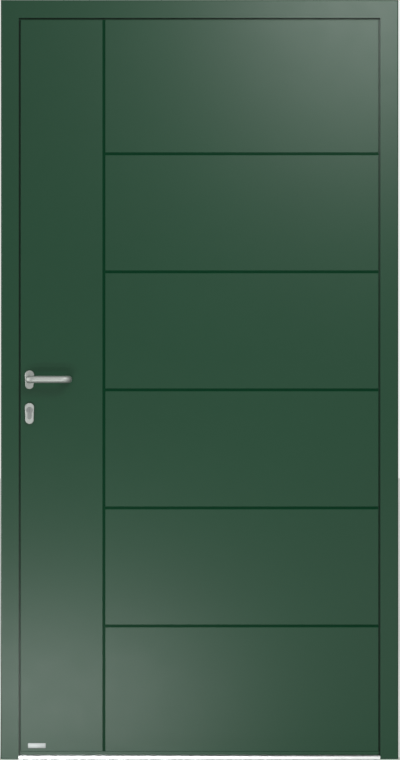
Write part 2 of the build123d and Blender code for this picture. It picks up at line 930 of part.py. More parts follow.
def cover_plate(top_radius, foot_radius, spread, centre, thickness):
    """Narrow plate with a round top and a more tapered round foot, bevelled at the front."""
    top = Pos(0, spread / 2) * Circle(top_radius)
    foot = Pos(0, -spread / 2) * Circle(foot_radius)
    shape = make_hull(top.edges() + foot.edges())
    plate = through_leaf(shape, lock_x, centre, outside - thickness, outside)
    return chamfer(plate.faces().sort_by(Axis.Y)[0].edges(), plate_edge)


def handle_nodes():
    """Lever handles on one spindle, with a rosette and an escutcheon on each face."""
    start = outside - neck_gap
    bar_y = outside - lever_projection
    tip_x = lock_x + lever_reach - lever_radius
    z = lever_height
    path = FilletPolyline(
        (lock_x, start, z), (lock_x, bar_y, z), (tip_x, bar_y, z), (tip_x, outside - lever_end_gap, z),
        radius=lever_bend,
    )
    neck = Plane(origin=(lock_x, start, z), x_dir=(1, 0, 0), z_dir=(0, -1, 0))
    lever = sweep(neck * Circle(lever_radius), path=path)
    square = spindle_side / 2 + spindle_fit
    end = spindle_length / 2
    lever -= block(lock_x - square, lock_x + square, -end, start, z - square, z + square)
    rings = lever.edges().filter_by(GeomType.CIRCLE)
    lever = fillet(rings.group_by(Axis.X)[-1].sort_by(Axis.Y)[-1], lever_end_round)
    half = spindle_side / 2
    spindle = block(lock_x - half, lock_x + half, -end, end, z - half, z + half)

    rosette = cover_plate(
        rosette_top_radius, rosette_foot_radius, rosette_spread,
        lever_height - rosette_drop, rosette_thickness,
    )
    rosette -= round_y(
        lever_radius + neck_clearance, outside - rosette_thickness, outside, lock_x, lever_height
    )
    escutcheon = cover_plate(
        escutcheon_top_radius, escutcheon_foot_radius, escutcheon_spread,
        plug_height - escutcheon_drop, escutcheon_thickness,
    )
    front = outside - escutcheon_thickness
    escutcheon -= through_leaf(euro_profile(neck_clearance), lock_x, plug_height, front, outside)
    return {
        "outside_lever": lever,
        "inside_lever": turned_inside(lever),
        "lever_spindle": spindle,
        "outside_rosette": rosette,
        "inside_rosette": turned_inside(rosette),
        "outside_escutcheon": escutcheon,
        "inside_escutcheon": turned_inside(escutcheon),
    }


# Hinges


def hinge_nodes():
    """Three-part barrel hinges on the inside face, with a fixed pin and a bush in the leaf's knuckle."""
    half = hinge_height / 2
    plate_back = inside + hinge_plate
    arm = hinge_side(frame_plate_margin)
    clear = knuckle_radius + plate_clearance
    web_start = hinge_y - knuckle_radius + 1
    frame_web = outline(
        (hinge_x, web_start),
        (hinge_x + knuckle_radius / 2, inside),
        (hinge_x + clear + 1, inside),
        (hinge_x + clear + 1, plate_back),
        (hinge_x + knuckle_radius / 2, hinge_y + knuckle_radius / 2),
    )
    leaf_web = outline(
        (hinge_x, web_start),
        (hinge_x - knuckle_radius / 2, inside),
        (hinge_x - clear - 2, inside),
        (hinge_x - clear - 2, plate_back),
        (hinge_x - knuckle_radius / 2, hinge_y + knuckle_radius / 2),
    )
    frame_halves, leaf_halves, pins, bushes, caps = [], [], [], [], []
    for height in hinge_heights:
        low, high = height - half, height + half
        middle0, middle1 = low + end_knuckle, high - end_knuckle
        plate = block(hinge_x + clear, arm, inside, plate_back, low, high)
        plate = chamfer(plate.faces().sort_by(Axis.Y)[-1].edges(), plate_bevel)
        for z0, z1 in ((low, middle0), (middle1, high)):
            plate += Pos(0, 0, z0) * upright(frame_web, z1 - z0)
            plate += round_z(knuckle_radius, z0, z1, hinge_x, hinge_y)
        frame_halves.append(
            plate - round_z(hinge_pin_radius + hinge_pin_fit / 2, low, high, hinge_x, hinge_y)
        )
        edge = hinge_x - clear - 1
        plate = block(edge - leaf_plate_width, edge, inside, plate_back, low, high)
        plate = chamfer(plate.faces().sort_by(Axis.Y)[-1].edges(), plate_bevel)
        z0, z1 = middle0 + knuckle_gap, middle1 - knuckle_gap
        plate += Pos(0, 0, z0) * upright(leaf_web, z1 - z0)
        plate += round_z(knuckle_radius, z0, z1, hinge_x, hinge_y)
        leaf_halves.append(
            plate - round_z(hinge_bush_radius + hinge_pin_fit / 2, z0, z1, hinge_x, hinge_y)
        )
        bush = round_z(hinge_bush_radius, z0, z1, hinge_x, hinge_y)
        bushes.append(bush - round_z(hinge_pin_radius + hinge_pin_fit, z0, z1, hinge_x, hinge_y))
        pins.append(round_z(hinge_pin_radius, low, high, hinge_x, hinge_y))
        for z, face in ((high, -1), (low - hinge_cap_height, 0)):
            cap = round_z(knuckle_radius, z, z + hinge_cap_height, hinge_x, hinge_y)
            caps.append(chamfer(cap.faces().sort_by(Axis.Z)[face].edges(), hinge_cap_bevel))
    return {
        "hinge_frame_halves": frame_halves,
        "hinge_leaf_halves": leaf_halves,
        "hinge_pins": pins,
        "hinge_bushes": bushes,
        "hinge_caps": caps,
    }


def save(name, shapes):
    """Write one node, as one solid or as a group of separate solids."""
    group = shapes if isinstance(shapes, list) else [shapes]
    solids = [solid for shape in group for solid in shape.solids()]
    whole = solids[0] if len(solids) == 1 else Compound(solids)
    export_step(whole, f"parts/{name}.step")


os.makedirs("parts", exist_ok=True)
for make in (
    frame_nodes,
    strike_nodes,
    leaf_profile_nodes,
    leaf_panel_nodes,
    lock_nodes,
    security_pin_nodes,
    cylinder_nodes,
    handle_nodes,
    hinge_nodes,
):
    for name, shapes in make().items():
        save(name, shapes)
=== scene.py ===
from math import cos, pi, sin, tau

import bmesh
import bpy
from bpy.props import FloatProperty, FloatVectorProperty, IntProperty, PointerProperty
from mathutils import Matrix, Vector


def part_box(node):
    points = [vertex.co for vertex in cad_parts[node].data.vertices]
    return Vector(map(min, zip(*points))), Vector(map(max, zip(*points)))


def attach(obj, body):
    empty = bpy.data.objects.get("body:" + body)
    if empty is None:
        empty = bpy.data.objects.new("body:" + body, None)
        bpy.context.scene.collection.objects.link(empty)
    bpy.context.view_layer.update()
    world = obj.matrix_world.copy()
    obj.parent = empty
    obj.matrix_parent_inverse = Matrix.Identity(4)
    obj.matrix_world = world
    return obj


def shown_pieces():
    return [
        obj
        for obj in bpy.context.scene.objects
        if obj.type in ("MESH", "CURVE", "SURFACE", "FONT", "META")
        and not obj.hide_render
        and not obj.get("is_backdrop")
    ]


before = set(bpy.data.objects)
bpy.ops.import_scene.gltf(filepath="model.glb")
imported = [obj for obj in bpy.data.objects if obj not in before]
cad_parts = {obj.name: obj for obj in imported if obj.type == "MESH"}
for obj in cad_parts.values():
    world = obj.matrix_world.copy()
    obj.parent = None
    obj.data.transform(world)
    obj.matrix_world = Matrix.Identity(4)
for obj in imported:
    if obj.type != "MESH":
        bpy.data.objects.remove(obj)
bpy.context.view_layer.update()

# Dresses a panelled aluminium front door: powder coat, metals and rubbers for its parts, the screw
# heads and the bare plate that they leave out, and a plain studio round it. Everything is in metres.
# The outside face looks along -Y, and the leaf's lock edge lies towards -X.

bl_info = {
    "name": "Panelled front door",
    "version": (1, 0, 0),
    "blender": (4, 5, 0),
    "location": "3D View > Sidebar > Front door",
    "description": "Finishes and small fittings of a panelled front door",
    "category": "Object",
}

sheet_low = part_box("leaf_outside_sheet")[0]


# Shader maths


class Recipe:
    """A node tree that is filled by expressions and by calls to node()."""

    def __init__(self, tree):
        self.tree = tree
        tree.nodes.clear()

    def node(self, kind, settings=None, inputs=None, output=0):
        """Add one node, set it up, feed its sockets and return one of its outputs."""
        made = self.tree.nodes.new(kind)
        for setting, value in (settings or {}).items():
            setattr(made, setting, value)
        for socket, value in (inputs or {}).items():
            self.feed(made.inputs[socket], value)
        return Wire(self, made.outputs[output]) if made.outputs else made

    def feed(self, socket, value):
        """Link a wire to a socket, or write a plain value into it."""
        if isinstance(value, Wire):
            self.tree.links.new(value.socket, socket)
        else:
            socket.default_value = value


class Wire:
    """One output socket, which takes part in sums, products and powers."""

    def __init__(self, recipe, socket):
        self.recipe = recipe
        self.socket = socket

    def math(self, operation, *values, clamp=False):
        """One Math node, fed with these values in their order."""
        inputs = dict(enumerate(values))
        return self.recipe.node("ShaderNodeMath", {"operation": operation, "use_clamp": clamp}, inputs)

    def __add__(self, other):
        return self.math("ADD", self, other)

    def __radd__(self, other):
        return self.math("ADD", other, self)

    def __sub__(self, other):
        return self.math("SUBTRACT", self, other)

    def __rsub__(self, other):
        return self.math("SUBTRACT", other, self)

    def __mul__(self, other):
        return self.math("MULTIPLY", self, other)

    def __rmul__(self, other):
        return self.math("MULTIPLY", other, self)

    def __truediv__(self, other):
        return self.math("DIVIDE", self, other)

    def __rtruediv__(self, other):
        return self.math("DIVIDE", other, self)

    def __pow__(self, other):
        return self.math("POWER", self, other)

    def __rpow__(self, other):
        return self.math("POWER", other, self)

    def limited(self):
        """The value held between nought and one."""
        return self.math("ADD", self, 0.0, clamp=True)

    def swing(self, width):
        """A share from nought to one turned into a swing about nought, this wide in all."""
        return width * (self - 0.5)

    def axis(self, name):
        """One part of a vector."""
        return self.recipe.node("ShaderNodeSeparateXYZ", {}, {0: self}, "XYZ".index(name))

    def stretched(self, along, across, direction):
        """A vector scaled by one factor along a direction and by another across it."""
        scale = [across, across, across]
        scale["XYZ".index(direction)] = along
        return self.recipe.node("ShaderNodeVectorMath", {"operation": "MULTIPLY"}, {0: self, 1: scale})


class Finish(Recipe):
    """A material built round one Principled shader, whose plain values are set on its own sockets."""

    def __init__(self, name, **plain):
        material = bpy.data.materials.new(name)
        material.use_nodes = True
        super().__init__(material.node_tree)
        self.shader = self.tree.nodes.new("ShaderNodeBsdfPrincipled")
        self.surface = self.tree.nodes.new("ShaderNodeOutputMaterial").inputs["Surface"]
        self.tree.links.new(self.shader.outputs[0], self.surface)
        for socket, value in plain.items():
            self.set(socket.replace("_", " "), value)
        self.place = self.node("ShaderNodeTexCoord", output="Object")

    def set(self, socket, value):
        """Feed a socket of the shader."""
        self.feed(self.shader.inputs[socket], value)

    def noise(self, size, place=None, detail=2.0, roughness=0.5):
        """Even noise with features of about this size."""
        shape = {"Scale": 1 / size, "Detail": detail, "Roughness": roughness}
        return self.node("ShaderNodeTexNoise", {}, {"Vector": place or self.place, **shape})

    def shades(self, colour, darkest, lightest, share):
        """A colour that passes by a share from a darker shade of itself into a lighter one."""
        # Sockets by number, because the Mix node's colour and vector sockets share their names.
        ends = {6: (*scaled(colour, darkest), 1), 7: (*scaled(colour, lightest), 1)}
        return self.node("ShaderNodeMix", {"data_type": "RGBA"}, {0: share, **ends}, 2)

    def pass_into_painted_shade(self, colour, share):
        """Let a coat of this colour without reflections take over by a share, as painted shade."""
        plain = {"Base Color": (*colour, 1), "Roughness": 0.9, "Specular IOR Level": 0.0}
        # Painted shade: a darker coat that reflects nothing, in place of a hollow's shadow.
        painted_shade_coat = self.node("ShaderNodeBsdfPrincipled", {}, plain)
        bright = Wire(self, self.shader.outputs[0])
        self.feed(self.surface, self.node("ShaderNodeMixShader", {}, {0: share, 1: bright, 2: painted_shade_coat}))

    def relief(self, height, depth, strength):
        """Bump of a given depth."""
        inputs = {"Height": height, "Distance": depth, "Strength": strength}
        self.set("Normal", self.node("ShaderNodeBump", {}, inputs))


def scaled(colour, factor):
    """A colour made lighter or darker."""
    return [min(channel * factor, 1) for channel in colour]


# Finishes


def powder_coat(name, colour, settings):
    """Satin powder coat: a fine pebbled skin with slight changes of colour and gloss."""
    coat = Finish(name, Specular_IOR_Level=settings.coat_gloss)
    cloud = coat.noise(size=0.35, detail=1.0)
    haze = coat.noise(size=0.05)
    skin = coat.noise(size=0.0009)
    coat.set("Base Color", coat.shades(colour, darkest=0.95, lightest=1.05, share=cloud))
    coat.set("Roughness", settings.coat_roughness + haze.swing(0.04) + skin.swing(0.03))
    coat.relief(skin, settings.skin_depth, strength=0.35)
    return coat


def coat_with_painted_groove_shade(name, colour, settings):
    """The leaf's powder coat with painted shade, darker and without its sheen where it lies deep in a
    groove or down an edge.
    """
    coat = powder_coat(name, colour, settings)
    # Painted shade: deeper into a groove, and down the sheet's edges, the coat turns darker and loses
    # its sheen, in place of the shadow there.
    depth = (coat.place.axis("Y") - sheet_low.y) / settings.painted_shade_depth
    bend = 0.7  # below one, so the coat dulls fastest just inside a groove's mouth
    share = settings.painted_shade_share * depth.limited() ** bend
    coat.pass_into_painted_shade(scaled(colour, settings.painted_groove_shade), share)


def brushed_metal(name, colour, roughness, direction, grain=0.0006):
    """Metal with a fine grain drawn along one axis."""
    metal = Finish(name, Metallic=1.0)
    drawn = metal.place.stretched(along=0.04, across=1.0, direction=direction)
    lines = metal.noise(grain, drawn, detail=3.0)
    haze = metal.noise(size=0.03)
    metal.set("Base Color", metal.shades(colour, darkest=0.9, lightest=1.06, share=lines))
    metal.set("Roughness", roughness + lines.swing(0.12) + haze.swing(0.06))
    metal.relief(lines, depth=0.00003, strength=0.25)


def plated_steel(name, colour, roughness):
    """Zinc-plated or nickel-plated steel: bright, with faint clouds in its colour and gloss."""
    metal = Finish(name, Metallic=1.0)
    cloud = metal.noise(size=0.012, detail=4.0, roughness=0.6)
    fine = metal.noise(size=0.0008)
    metal.set("Base Color", metal.shades(colour, darkest=0.86, lightest=1.08, share=cloud))
    metal.set("Roughness", roughness + cloud.swing(0.16) + fine.swing(0.05))
    metal.relief(fine, depth=0.00002, strength=0.3)


def moulded(name, colour, roughness, grain, depth):
    """Rubber, polyamide, foam or floor covering: matt, with a skin of fine grain."""
    stuff = Finish(name, Specular_IOR_Level=0.35)
    skin = stuff.noise(grain, detail=3.0)
    patch = stuff.noise(size=0.06)
    mottle = 0.5 * (skin + patch)
    stuff.set("Base Color", stuff.shades(colour, darkest=0.85, lightest=1.15, share=mottle))
    stuff.set("Roughness", roughness + patch.swing(0.1))
    stuff.relief(skin, depth, strength=0.5)


def dress(finish, *nodes):
    """Give nodes of the CAD model the finish of this name."""
    for node in nodes:
        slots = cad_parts[node].data.materials
        slots.clear()
        slots.append(bpy.data.materials[finish])


# Mesh makers


def ring(builder, place, turn, radius, height, count):
    """Closed ring of corners about an axis; the radius may be a function of the angle."""
    corners = []
    for step in range(count):
        angle = tau * step / count
        reach = radius(angle) if callable(radius) else radius
        corner = Vector((reach * cos(angle), reach * sin(angle), height))
        corners.append(builder.verts.new(place + turn @ corner))
    return corners


def plate_ring(builder, centre, half_width, half_height, corner, inset, rise, steps=6):
    """Ring of corners round the outline of a plate on the outside face, drawn in and raised."""
    corners = []
    for quarter, (right, up) in enumerate(((1, 1), (-1, 1), (-1, -1), (1, -1))):
        for step in range(steps + 1):
            angle = (quarter + step / steps) * pi / 2
            x = right * (half_width - corner) + (corner - inset) * cos(angle)
            z = up * (half_height - corner) + (corner - inset) * sin(angle)
            corners.append(builder.verts.new(centre + Vector((x, -rise, z))))
    return corners


def closed_skin(builder, rings):
    """Faces between rings of the same count, one after another, and over both ends."""
    for low, high in zip(rings, rings[1:]):
        for step in range(len(low)):
            after = (step + 1) % len(low)
            builder.faces.new((low[step], low[after], high[after], high[step]))
    builder.faces.new(rings[-1])
    builder.faces.new(rings[0][::-1])


def mesh_object(builder, name, finish):
    """Turn the built mesh into an object with the finish of this name."""
    mesh = bpy.data.meshes.new(name)
    builder.to_mesh(mesh)
    builder.free()
    mesh.materials.append(bpy.data.materials[finish])
    made = bpy.data.objects.new(name, mesh)
    bpy.context.scene.collection.objects.link(made)
    return made


def fitting(builder, name, body, finish):
    """Turn the built mesh into a piece with smooth faces and sharp edges, which rides on a body."""
    bmesh.ops.recalc_face_normals(builder, faces=builder.faces)
    piece = mesh_object(builder, name, finish)
    for face in piece.data.polygons:
        face.use_smooth = True
    piece.data.set_sharp_from_angle(angle=pi / 5)
    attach(piece, body)


def star_screws(name, places, head_radius, settings, body):
    """Low round screw heads with a six-point star recess, each at a place and facing outwards."""
    rise, sunk, floor_share = settings.screw_rise, 0.0003, 0.15
    recess, point_depth = head_radius * settings.recess_share, 0.14

    def star(angle):
        return recess * (1 + point_depth * cos(6 * angle))

    # Shares of the head's radius and rise, from its rim to where the top is flat
    dome = ((1, 0.45), (0.93, 0.78), (0.8, 0.95), (0.6, 1))
    profile = [(head_radius, -sunk)]
    profile += [(head_radius * across, rise * up) for across, up in dome]
    profile += [(star, rise), (star, rise * floor_share)]
    builder = bmesh.new()
    facets = settings.screw_facets
    for place, outward in places:
        turn = Vector((0, 0, 1)).rotation_difference(outward).to_matrix()
        rings = [ring(builder, place, turn, radius, height, facets) for radius, height in profile]
        closed_skin(builder, rings)
    fitting(builder, name, body, "zinc_plate")


def separate_levels(node, least_gap=0.2):
    """Height ranges of the separate pieces of a part, from its lowest up."""
    heights = sorted(vertex.co.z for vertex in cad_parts[node].data.vertices)
    levels = [[heights[0], heights[0]]]
    for height in heights:
        if height - levels[-1][1] > least_gap:
            levels.append([height, height])
        levels[-1][1] = height
    return levels


# Sizes and colours


class CoatSettings(bpy.types.PropertyGroup):
    colour: FloatVectorProperty(
        name="Coat colour", description="Colour of the powder coat on frame, leaf and hinges",
        subtype="COLOR", size=3, min=0, max=1, default=(0.001, 0.0375, 0.0134),
    )
    coat_roughness: FloatProperty(
        name="Coat roughness", description="How widely the coat spreads a highlight",
        default=0.36, min=0, max=1,
    )
    coat_gloss: FloatProperty(
        name="Coat gloss", description="Strength of the coat's reflections", default=0.33, min=0, max=1,
    )
    skin_depth: FloatProperty(
        name="Skin depth", description="Depth of the coat's pebbled skin", unit="LENGTH",
        default=0.00003,
    )
    # Painted shade: the share of the coat's colour left at a groove's floor, in place of the groove's
    # shadow.
    painted_groove_shade: FloatProperty(
        name="Groove shade", description="Share of its colour that the coat keeps at a groove's floor",
        default=0.75, min=0, max=1,
    )
    # Painted shade: the share by which the darker coat without reflections takes over at a groove's
    # floor.
    painted_shade_share: FloatProperty(
        name="Groove dulling", description="Share of the coat's sheen that is lost at a groove's floor",
        default=0.82, min=0, max=1,
    )
    # Depth into a groove at which the painted shade is full.
    painted_shade_depth: FloatProperty(
        name="Groove depth", description="Depth at which the groove's shade is full", unit="LENGTH",
        default=0.0026,
    )


class MetalSettings(bpy.types.PropertyGroup):
    steel: FloatVectorProperty(
        name="Handle steel", description="Colour of the levers, rosettes and escutcheons",
        subtype="COLOR", size=3, min=0, max=1, default=(0.355, 0.375, 0.355),
    )
    nickel: FloatVectorProperty(
        name="Cylinder nickel", description="Colour of the profile cylinder",
        subtype="COLOR", size=3, min=0, max=1, default=(0.26, 0.275, 0.265),
    )
    lock_steel: FloatVectorProperty(
        name="Lock steel", description="Colour of the faceplate, bolts, strikes and screws",
        subtype="COLOR", size=3, min=0, max=1, default=(0.52, 0.53, 0.54),
    )
    plate: FloatVectorProperty(
        name="Plate metal", description="Colour of the bare plate",
        subtype="COLOR", size=3, min=0, max=1, default=(0.31, 0.33, 0.325),
    )
    aluminium: FloatVectorProperty(
        name="Bare aluminium", description="Colour of the threshold and the corner cleats",
        subtype="COLOR", size=3, min=0, max=1, default=(0.84, 0.85, 0.85),
    )


class FittingSettings(bpy.types.PropertyGroup):
    plate_width: FloatProperty(
        name="Plate width", description="Width of the bare plate", unit="LENGTH", default=0.049,
    )
    plate_height: FloatProperty(
        name="Plate height", description="Height of the bare plate", unit="LENGTH", default=0.014,
    )
    plate_thickness: FloatProperty(
        name="Plate thickness", description="Thickness of the bare plate", unit="LENGTH", default=0.0009,
    )
    plate_corner: FloatProperty(
        name="Plate corner", description="Radius of the bare plate's corners", unit="LENGTH",
        default=0.0022,
    )
    plate_edge: FloatProperty(
        name="Plate edge", description="Radius of the bare plate's softened front edge", unit="LENGTH",
        default=0.0004,
    )
    plate_from_edge: FloatProperty(
        name="Plate from edge", description="From the leaf's lock edge to the plate's middle",
        unit="LENGTH", default=0.045,
    )
    plate_above_edge: FloatProperty(
        name="Plate above edge", description="From the sheet's lower edge to the plate's middle",
        unit="LENGTH", default=0.016,
    )
    small_head: FloatProperty(
        name="Lock screw head", description="Radius of the heads in faceplate and strikes",
        unit="LENGTH", default=0.0033,
    )
    large_head: FloatProperty(
        name="Hinge screw head", description="Radius of the heads in the hinge plates",
        unit="LENGTH", default=0.0042,
    )
    screw_rise: FloatProperty(
        name="Screw rise", description="How far a head stands proud of its plate",
        unit="LENGTH", default=0.0011,
    )
    recess_share: FloatProperty(
        name="Recess", description="Star recess as a share of the head's radius",
        default=0.45, min=0.1, max=0.8,
    )
    hinge_plate: FloatProperty(
        name="Hinge plate", description="Thickness of the hinge plates on the inside face",
        unit="LENGTH", default=0.008,
    )
    screw_facets: IntProperty(
        name="Screw facets", description="Corners round each screw head", default=36, min=12, max=96,
    )


class StudioSettings(bpy.types.PropertyGroup):
    camera_distance: FloatProperty(
        name="Camera distance", description="From the door's outside face to the camera",
        unit="LENGTH", default=14.0,
    )
    view_height: FloatProperty(
        name="View height", description="Height of the view at the door's outside face",
        unit="LENGTH", default=2.1022,
    )
    view_x: FloatProperty(
        name="View centre X", description="Where the view's middle lies across",
        unit="LENGTH", default=0.0013,
    )
    view_z: FloatProperty(
        name="View centre Z", description="Where the view's middle lies in height",
        unit="LENGTH", default=1.0484,
    )
    ambient: FloatProperty(
        name="Room light", description="Strength of the even light from all round", default=0.75, min=0,
    )
    backdrop: FloatProperty(
        name="Backdrop", description="Brightness of the pale room as seen", default=0.85, min=0, max=1,
    )
    floor_colour: FloatVectorProperty(
        name="Floor colour", description="Colour of the plain pale floor",
        subtype="COLOR", size=3, min=0, max=1, default=(0.74, 0.74, 0.73),
    )
    floor_reach: FloatProperty(
        name="Floor reach", description="Radius of the floor", unit="LENGTH", default=40.0,
    )
    lamp_level: FloatProperty(name="Lamp level", description="Scales every lamp", default=1.0, min=0)


settings_groups = {
    "door_coat": CoatSettings,
    "door_metal": MetalSettings,
    "door_fittings": FittingSettings,
    "door_studio": StudioSettings,
}


# Steps, one for each piece or group of like pieces


class DOOR_OT_finishes(bpy.types.Operator):
    """Mix the finishes that the door's parts share"""

    bl_idname = "front_door.finishes"
    bl_label = "Mix finishes"

    def execute(self, context):
        coat, metal = context.scene.door_coat, context.scene.door_metal
        powder_coat("green_powder_coat", coat.colour, coat)
        # The leaf's outside coat carries painted shade in its grooves and down its edges.
        coat_with_painted_groove_shade("grooved_powder_coat", coat.colour, coat)
        brushed_metal("brushed_steel", metal.steel, roughness=0.56, direction="X")
        brushed_metal("brushed_faceplate", metal.lock_steel, roughness=0.3, direction="Z")
        brushed_metal("mill_aluminium", metal.aluminium, roughness=0.34, direction="X", grain=0.0009)
        brushed_metal("bright_plate", metal.plate, roughness=0.5, direction="X")
        plated_steel("satin_nickel", metal.nickel, roughness=0.34)
        plated_steel("zinc_plate", metal.lock_steel, roughness=0.36)
        black, dark_grey, straw = (0.022, 0.022, 0.023), (0.035, 0.035, 0.036), (0.72, 0.62, 0.36)
        moulded("black_rubber", black, roughness=0.72, grain=0.0006, depth=0.00004)
        moulded("black_polyamide", dark_grey, roughness=0.55, grain=0.0011, depth=0.00003)
        moulded("straw_foam", straw, roughness=0.9, grain=0.0016, depth=0.0003)
        return {"FINISHED"}


class DOOR_OT_frame(bpy.types.Operator):
    """Coat the frame's shells and finish what lies between them"""

    bl_idname = "front_door.frame"
    bl_label = "Frame profiles"

    def execute(self, context):
        sides = ("lock_jamb", "hinge_jamb", "head")
        shells = [f"frame_{face}_shell_{side}" for face in ("outer", "inner") for side in sides]
        dress("green_powder_coat", *shells)
        dress("black_polyamide", "frame_thermal_strips")
        dress("mill_aluminium", "frame_corner_cleats")
        return {"FINISHED"}


class DOOR_OT_threshold(bpy.types.Operator):
    """Finish the three strips of the threshold"""

    bl_idname = "front_door.threshold"
    bl_label = "Threshold"

    def execute(self, context):
        dress("mill_aluminium", "sill_outer_profile", "sill_inner_profile")
        dress("black_polyamide", "sill_thermal_break")
        return {"FINISHED"}


class DOOR_OT_leaf(bpy.types.Operator):
    """Coat the leaf's sheets, shells and hem and finish its core"""

    bl_idname = "front_door.leaf"
    bl_label = "Leaf"

    def execute(self, context):
        parts = ("lock_stile", "hinge_stile", "top_rail", "bottom_rail")
        shells = [f"leaf_{face}_shell_{part}" for face in ("outer", "inner") for part in parts]
        # The outside sheet takes the coat with painted shade in its grooves.
        dress("grooved_powder_coat", "leaf_outside_sheet")
        dress("green_powder_coat", "leaf_inside_sheet", "bottom_seal_carrier", *shells)
        dress("black_polyamide", "leaf_thermal_strips")
        dress("mill_aluminium", "leaf_corner_cleats")
        dress("straw_foam", "leaf_foam_core")
        return {"FINISHED"}


class DOOR_OT_seals(bpy.types.Operator):
    """Finish the rubber seals round the leaf and under it"""

    bl_idname = "front_door.seals"
    bl_label = "Seals"

    def execute(self, context):
        dress("black_rubber", "frame_outer_seal", "leaf_inner_seal", "bottom_sweep_seal")
        return {"FINISHED"}


class DOOR_OT_lock(bpy.types.Operator):
    """Finish the lock, its bolts and rods, the strikes and the security pins"""

    bl_idname = "front_door.lock"
    bl_label = "Lock and strikes"

    def execute(self, context):
        dress(
            "brushed_faceplate",
            "lock_faceplate", "main_strike_plate", "pin_bolt_strikes", "security_pin_keeps",
        )
        dress(
            "zinc_plate",
            "lock_case", "pin_bolt_cases", "latch_bolt", "dead_bolt", "follower", "lever_spindle",
            "upper_drive_rod", "lower_drive_rod", "upper_pin_bolt", "lower_pin_bolt",
            "hinge_side_security_pins", "cylinder_fixing_screw",
        )
        return {"FINISHED"}


class DOOR_OT_handles(bpy.types.Operator):
    """Finish the levers, their cover plates and the profile cylinder"""

    bl_idname = "front_door.handles"
    bl_label = "Handles and cylinder"

    def execute(self, context):
        for side in ("outside", "inside"):
            dress("brushed_steel", f"{side}_lever", f"{side}_rosette", f"{side}_escutcheon")
            dress("satin_nickel", f"cylinder_{side}_plug")
        dress("satin_nickel", "cylinder_body", "cylinder_cam")
        return {"FINISHED"}


class DOOR_OT_hinges(bpy.types.Operator):
    """Coat the hinges and finish their pins and bushes"""

    bl_idname = "front_door.hinges"
    bl_label = "Hinges"

    def execute(self, context):
        dress("green_powder_coat", "hinge_frame_halves", "hinge_leaf_halves", "hinge_caps")
        dress("zinc_plate", "hinge_pins")
        dress("black_polyamide", "hinge_bushes")
        return {"FINISHED"}


class DOOR_OT_bare_plate(bpy.types.Operator):
    """Make the small bare plate at the leaf's lower corner"""

    bl_idname = "front_door.bare_plate"
    bl_label = "Bare plate"

    def execute(self, context):
        sizes = context.scene.door_fittings
        centre = sheet_low + Vector((sizes.plate_from_edge, 0, sizes.plate_above_edge))
        half_width, half_height = sizes.plate_width / 2, sizes.plate_height / 2
        front, edge = sizes.plate_thickness, sizes.plate_edge
        midway = edge * 0.3  # where the round edge has turned by half
        builder = bmesh.new()
        rings = []
        for inset, rise in ((0, 0), (0, front - edge), (midway, front - midway), (edge, front)):
            rings.append(
                plate_ring(builder, centre, half_width, half_height, sizes.plate_corner, inset, rise)
            )
        closed_skin(builder, rings)
        fitting(builder, "bare_plate", "leaf", "bright_plate")
        return {"FINISHED"}


class DOOR_OT_lock_screws(bpy.types.Operator):
    """Make the screw heads of the faceplate, the strikes and the keeps"""

    bl_idname = "front_door.lock_screws"
    bl_label = "Lock screws"

    def execute(self, context):
        sizes = context.scene.door_fittings
        left, right = Vector((-1, 0, 0)), Vector((1, 0, 0))
        faceplate_low, faceplate_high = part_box("lock_faceplate")
        depth = (faceplate_low.y + faceplate_high.y) / 2

        from_end, from_case = 0.03, 0.012
        case_low, case_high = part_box("lock_case")
        heights = [faceplate_low.z + from_end, case_low.z - from_case]
        heights += [case_high.z + from_case, faceplate_high.z - from_end]
        for low, high in separate_levels("pin_bolt_cases"):
            heights += [low - from_case, high + from_case]
        places = [(Vector((faceplate_low.x, depth, z)), left) for z in sorted(heights)]
        star_screws("faceplate_screws", places, sizes.small_head, sizes, "leaf")

        from_strike_end, above_middle, from_small_end = 0.0075, 0.0035, 0.006
        strike_low, strike_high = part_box("main_strike_plate")
        middle = (strike_low.z + strike_high.z) / 2 + above_middle
        heights = [strike_low.z + from_strike_end, middle, strike_high.z - from_strike_end]
        for low, high in separate_levels("pin_bolt_strikes"):
            heights += [low + from_small_end, high - from_small_end]
        places = [(Vector((strike_high.x, depth, z)), right) for z in heights]
        star_screws("strike_screws", places, sizes.small_head, sizes, "frame")

        keep_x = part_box("security_pin_keeps")[0].x
        places = []
        for low, high in separate_levels("security_pin_keeps"):
            for z in (low + from_small_end, high - from_small_end):
                places.append((Vector((keep_x, depth, z)), left))
        star_screws("keep_screws", places, sizes.small_head, sizes, "frame")
        return {"FINISHED"}


class DOOR_OT_hinge_screws(bpy.types.Operator):
    """Make the screw heads of the hinges' plates"""

    bl_idname = "front_door.hinge_screws"
    bl_label = "Hinge screws"

    def execute(self, context):
        sizes = context.scene.door_fittings
        back = Vector((0, 1, 0))
        from_end, frame_column, leaf_columns = 0.015, 0.0075, (0.010, 0.029)
        frame_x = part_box("hinge_frame_halves")[1].x - frame_column
        leaf_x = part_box("hinge_leaf_halves")[0].x
        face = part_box("frame_inner_shell_hinge_jamb")[1].y + sizes.hinge_plate
        frame_places, leaf_places = [], []
        for low, high in separate_levels("hinge_pins"):
            middle, half = (low + high) / 2, (high - low) / 2 - from_end
            for share in (-1, -1 / 3, 1 / 3, 1):
                frame_places.append((Vector((frame_x, face, middle + share * half)), back))
            for share in (-1, 0, 1):
                for column in leaf_columns:
                    leaf_places.append((Vector((leaf_x + column, face, middle + share * half)), back))
        star_screws("hinge_frame_screws", frame_places, sizes.large_head, sizes, "frame")
        star_screws("hinge_leaf_screws", leaf_places, sizes.large_head, sizes, "leaf")
        return {"FINISHED"}


